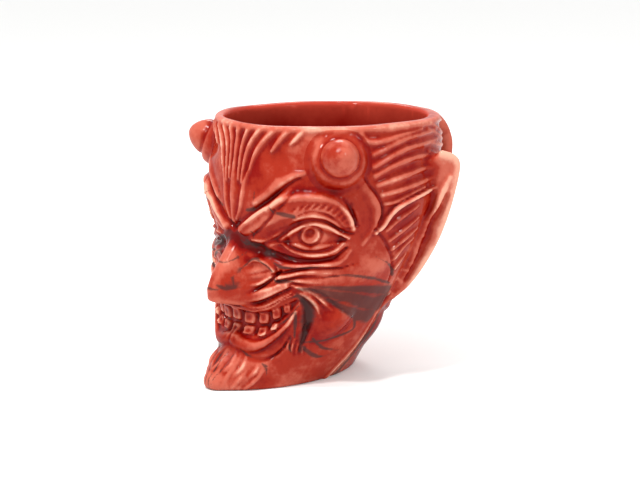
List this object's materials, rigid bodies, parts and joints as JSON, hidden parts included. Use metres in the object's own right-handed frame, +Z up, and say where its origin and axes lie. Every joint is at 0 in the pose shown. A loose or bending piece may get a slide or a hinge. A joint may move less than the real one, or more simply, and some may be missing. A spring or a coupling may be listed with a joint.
{
  "type": "mug",
  "caption": "Glazed ceramic novelty mug shaped as a horned, grinning head, with pointed ears and a loop handle.",
  "frame": {"origin": "on the ground under the middle of the whole mug, handle included", "axes": "+Z up, -Y the way the face looks, +X towards the face's own left ear, handle at +Y"},
  "size_m": [0.1014, 0.1321, 0.101],
  "materials": {
    "red_glaze": "clear glossy red glaze, deep red in the grooves and paler where it runs thin on ridges, with dark brushed streaks"
  },
  "bodies": {
    "root": {"head_shell": "red_glaze", "horn_left": "red_glaze", "horn_right": "red_glaze", "ear_left": "red_glaze", "ear_right": "red_glaze", "handle": "red_glaze"}
  },
  "joints": []
}
